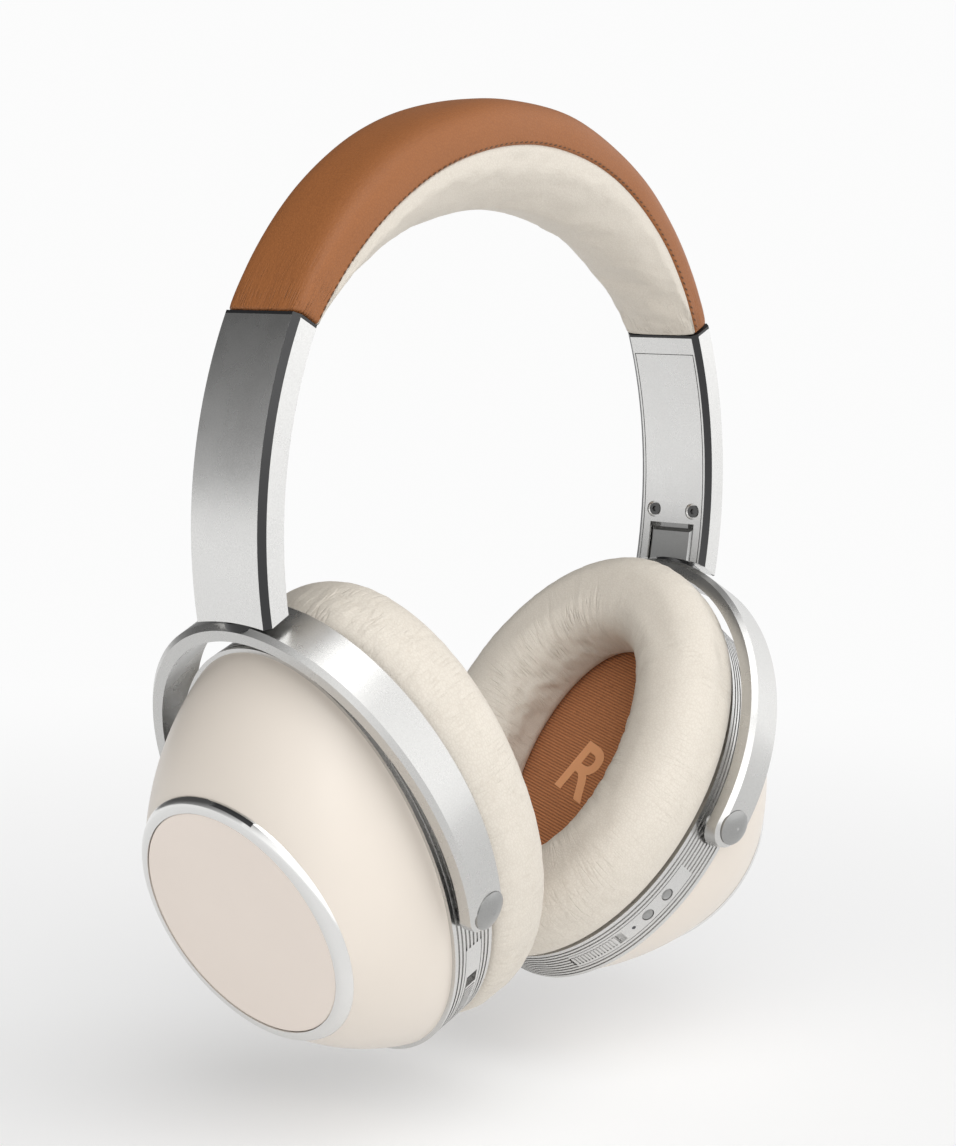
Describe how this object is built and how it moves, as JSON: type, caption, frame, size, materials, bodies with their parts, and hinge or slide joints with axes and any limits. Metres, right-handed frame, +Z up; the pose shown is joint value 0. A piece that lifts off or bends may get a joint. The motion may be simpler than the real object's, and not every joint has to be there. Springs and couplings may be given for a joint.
{
  "type": "over-ear headphones",
  "caption": "Over-ear headphones with a leather headband, curved metal arms, yokes, and swivelling conical ear cups with soft pads and small edge controls.",
  "frame": {"origin": "lowest point of the headband pad at the crown, where it rests on the head, in the middle plane", "axes": "+Z up, +X to the wearer's right, +Y to the wearer's front"},
  "size_m": [0.1764, 0.0878, 0.2053],
  "materials": {
    "battery": "wrapped cell",
    "black_plastic": "fine matt",
    "black_trim": "fine satin black",
    "board": "green circuit board",
    "brass": "plain",
    "cognac_leather": "smooth full-grain leather, caramel brown, satin",
    "control_aluminium": "satin",
    "cream_cone": "satin cream",
    "cream_leather": "soft smooth leather, pale cream",
    "disc_cream": "flat satin cream",
    "film": "thin film",
    "foam": "open-cell foam",
    "light": "milky",
    "magnet": "nickel grey",
    "polished_aluminium": "bright chamfers and rings",
    "ribbed_aluminium": "turned ribs, satin",
    "satin_aluminium": "bead blasted and clear anodised",
    "screen_fabric": "woven brown-orange screen",
    "socket_metal": "plated",
    "steel": "plain"
  },
  "bodies": {
    "headband": {"headband_strap": "steel", "headband_foam": "foam", "headband_cover": "cognac_leather", "headband_cushion": "cream_leather", "headband_collars": "black_trim", "arm_inlays": "black_trim", "arm_screws": "steel", "arm_left": "satin_aluminium", "arm_right": "satin_aluminium", "arm_cover_left": "satin_aluminium", "arm_cover_right": "satin_aluminium"},
    "slider_left": {"height_slider_left": "polished_aluminium", "swivel_pin_left": "steel"},
    "yoke_left": {"yoke_left": "satin_aluminium", "swivel_washer_left": "black_trim", "pivot_pins_left": "steel", "pivot_caps_left": "satin_aluminium"},
    "cup_left": {"cup_ring_left": "ribbed_aluminium", "pivot_bushes_left": "brass", "cup_cone_left": "cream_cone", "bezel_left": "polished_aluminium", "mic_mesh_left": "black_plastic", "disc_left": "disc_cream", "baffle_left": "black_plastic", "baffle_screws_left": "steel", "driver_frame_left": "black_plastic", "driver_magnet_left": "magnet", "diaphragm_left": "film", "ear_screen_left": "screen_fabric", "ear_pad_left": "cream_leather", "control_strip_left": "control_aluminium", "battery": "battery", "jack_socket": "socket_metal", "usb_socket": "socket_metal"},
    "switch_left": {"slide_switch_left": "control_aluminium"},
    "slider_right": {"height_slider_right": "polished_aluminium", "swivel_pin_right": "steel"},
    "yoke_right": {"yoke_right": "satin_aluminium", "swivel_washer_right": "black_trim", "pivot_pins_right": "steel", "pivot_caps_right": "satin_aluminium"},
    "cup_right": {"cup_ring_right": "ribbed_aluminium", "pivot_bushes_right": "brass", "cup_cone_right": "cream_cone", "bezel_right": "polished_aluminium", "mic_mesh_right": "black_plastic", "disc_right": "disc_cream", "baffle_right": "black_plastic", "baffle_screws_right": "steel", "driver_frame_right": "black_plastic", "driver_magnet_right": "magnet", "diaphragm_right": "film", "ear_screen_right": "screen_fabric", "ear_pad_right": "cream_leather", "control_strip_right": "control_aluminium", "circuit_board": "board", "status_light": "light"},
    "switch_right": {"slide_switch_right": "control_aluminium"},
    "upper_button": {"upper_button": "control_aluminium"},
    "lower_button": {"lower_button": "control_aluminium"}
  },
  "joints": [
    {"name": "height_left", "type": "hinge", "parent": "headband", "child": "slider_left", "pos_m": [0.0142, 0, -0.0658], "axis": [0, -1, 0], "range_deg": [0, 6]},
    {"name": "swivel_left", "type": "hinge", "parent": "slider_left", "child": "yoke_left", "pos_m": [-0.07702, 0, -0.08536], "axis": [0.454, 0, -0.891], "range_deg": [-16.3, 85.7]},
    {"name": "tilt_left", "type": "hinge", "parent": "yoke_left", "child": "cup_left", "pos_m": [-0.0465, -0.00014, -0.1413], "axis": [-0.0668, -0.9972, -0.034], "range_deg": [-12, 11]},
    {"name": "switch_left_slide", "type": "hinge", "parent": "cup_left", "child": "switch_left", "pos_m": [-0.04533, 0.01101, -0.14114], "axis": [-0.911, 0.0749, -0.4055], "range_deg": [0, 3.62]},
    {"name": "height_right", "type": "hinge", "parent": "headband", "child": "slider_right", "pos_m": [-0.0142, 0, -0.0658], "axis": [0, 1, 0], "range_deg": [0, 6]},
    {"name": "swivel_right", "type": "hinge", "parent": "slider_right", "child": "yoke_right", "pos_m": [0.07702, 0, -0.08536], "axis": [0.454, 0, 0.891], "range_deg": [-6.9, 95.1]},
    {"name": "tilt_right", "type": "hinge", "parent": "yoke_right", "child": "cup_right", "pos_m": [0.04651, 0.00016, -0.1413], "axis": [0.0792, 0.996, -0.0404], "range_deg": [-23, 0]},
    {"name": "switch_right_slide", "type": "hinge", "parent": "cup_right", "child": "switch_right", "pos_m": [0.04209, 0.00373, -0.14763], "axis": [-0.8157, 0.088, 0.5718], "range_deg": [0, 2.98]},
    {"name": "upper_button_press", "type": "slide", "parent": "cup_right", "child": "upper_button", "axis": [0.3118, 0.8994, 0.3063], "range_m": [0, 0.0004], "stiffness_N_per_m": 600, "springref_m": -0.0004},
    {"name": "lower_button_press", "type": "slide", "parent": "cup_right", "child": "lower_button", "axis": [0.3697, 0.8395, 0.3981], "range_m": [0, 0.0004], "stiffness_N_per_m": 600, "springref_m": -0.0004}
  ]
}
